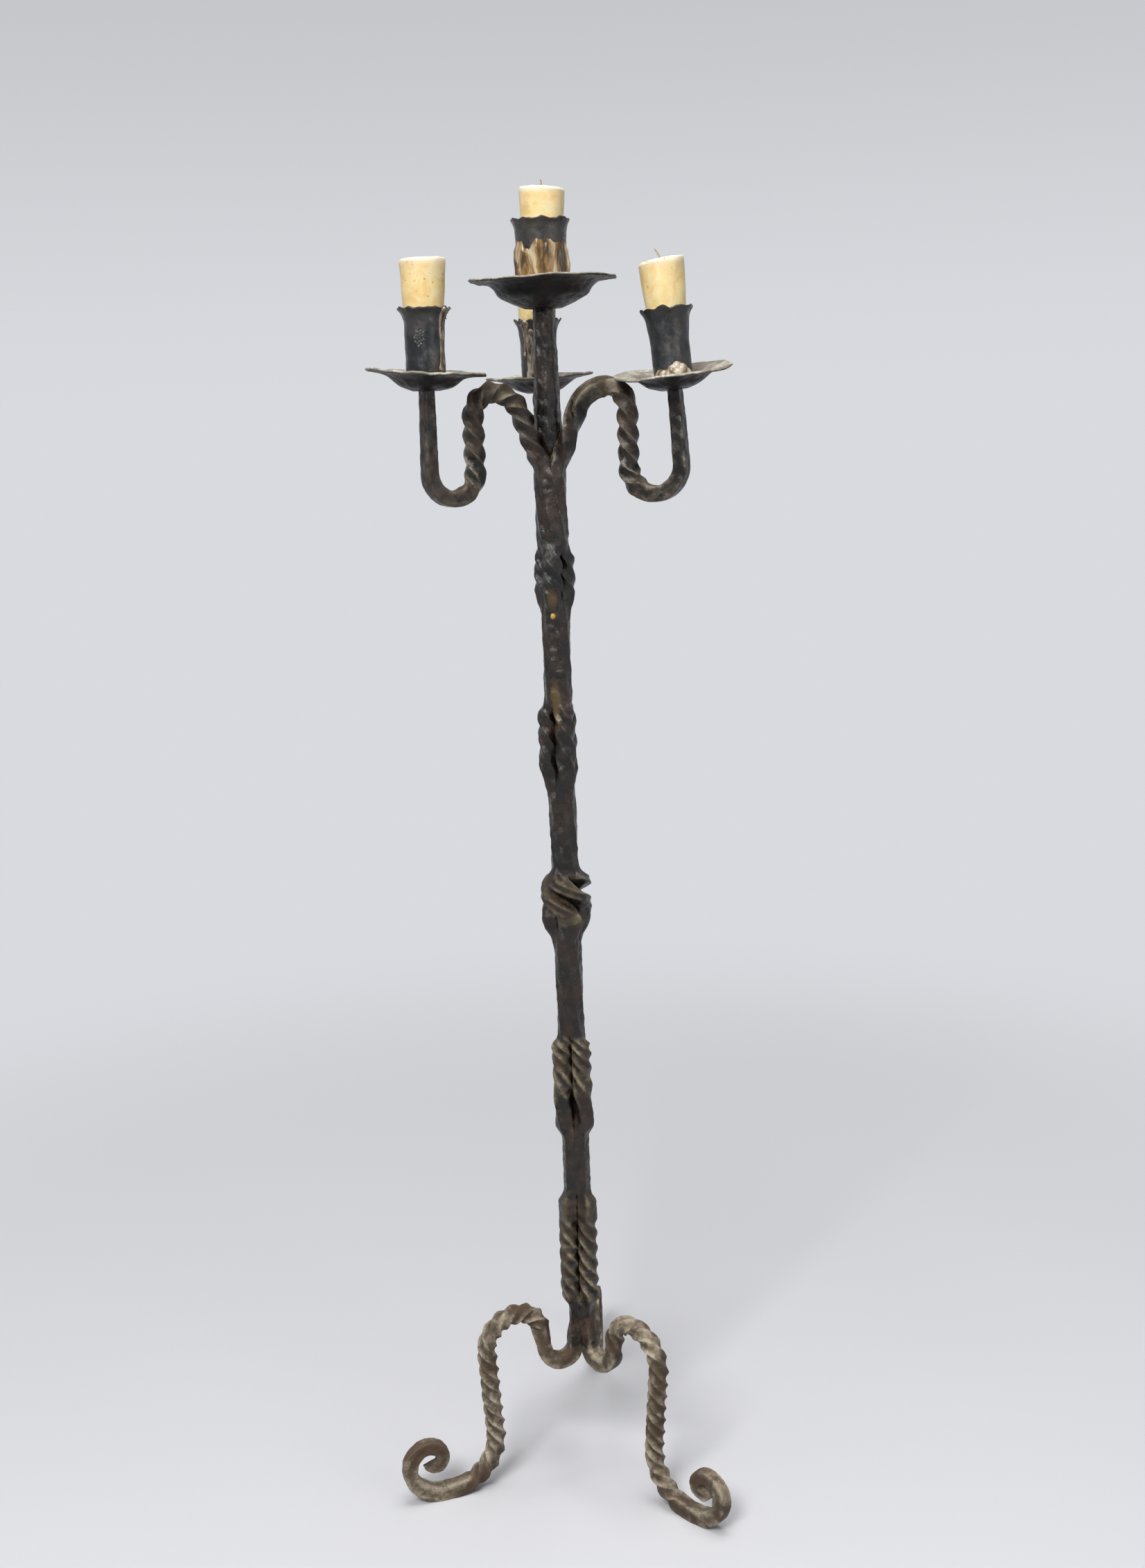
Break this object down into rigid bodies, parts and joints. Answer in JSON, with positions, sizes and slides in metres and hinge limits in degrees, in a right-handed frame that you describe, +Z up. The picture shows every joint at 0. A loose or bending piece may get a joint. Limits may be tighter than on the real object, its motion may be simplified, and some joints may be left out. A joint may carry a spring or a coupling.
{
  "type": "torchere candle stand",
  "caption": "Floor-standing forged-iron candelabra: twisted square bars form scroll feet, stem and curved arms; drip pans and ruffled cups hold stub candles.",
  "frame": {"origin": "on the floor, under the middle of the whole stand's outline", "axes": "+Z up along the stem; -Y towards the viewer of the picture; +X to the viewer's right"},
  "size_m": [0.3969, 0.4544, 1.4486],
  "materials": {
    "leg_iron": "forged, worn, taupe-brown",
    "stem_iron": "hammered, satin, nearly black",
    "arm_iron": "forged, satin, brown-grey",
    "pan_iron": "hammered sheet, dark",
    "cup_iron": "sheet, blue-black, satin",
    "tallow": "cream candle wax",
    "drip_wax": "set wax, amber and dirty white",
    "cotton": "burnt braided cotton"
  },
  "bodies": {
    "stand": {"leg_right": "leg_iron", "stem_bar_right": "stem_iron", "arm_right": "arm_iron", "pan_right": "pan_iron", "cup_right": "cup_iron", "wax_run_right": "drip_wax", "leg_back": "leg_iron", "stem_bar_back": "stem_iron", "arm_back": "arm_iron", "pan_back": "pan_iron", "cup_back": "cup_iron", "wax_run_back": "drip_wax", "leg_left": "leg_iron", "stem_bar_left": "stem_iron", "arm_left": "arm_iron", "pan_left": "pan_iron", "cup_left": "cup_iron", "wax_run_left": "drip_wax", "centre_post": "stem_iron", "pan_centre": "pan_iron", "cup_centre": "cup_iron", "wax_coat_centre": "drip_wax"},
    "candle_left_lifts": {"candle_left": "tallow", "wick_left": "cotton"},
    "candle_right_lifts": {"candle_right": "tallow", "wick_right": "cotton"},
    "candle_back_lifts": {"candle_back": "tallow", "wick_back": "cotton"},
    "candle_centre_lifts": {"candle_centre": "tallow", "wick_centre": "cotton"}
  },
  "joints": [
    {"name": "lift_candle_left", "type": "slide", "parent": "stand", "child": "candle_left_lifts", "axis": [0.0146, 0.0096, 0.9998], "range_m": [0, 0.08]},
    {"name": "lift_candle_right", "type": "slide", "parent": "stand", "child": "candle_right_lifts", "axis": [-0.0842, 0.0421, 0.9956], "range_m": [0, 0.08]},
    {"name": "lift_candle_back", "type": "slide", "parent": "stand", "child": "candle_back_lifts", "axis": [0.0021, -0.0348, 0.9994], "range_m": [0, 0.08]},
    {"name": "lift_candle_centre", "type": "slide", "parent": "stand", "child": "candle_centre_lifts", "axis": [0, 0, 1], "range_m": [0, 0.09]}
  ]
}
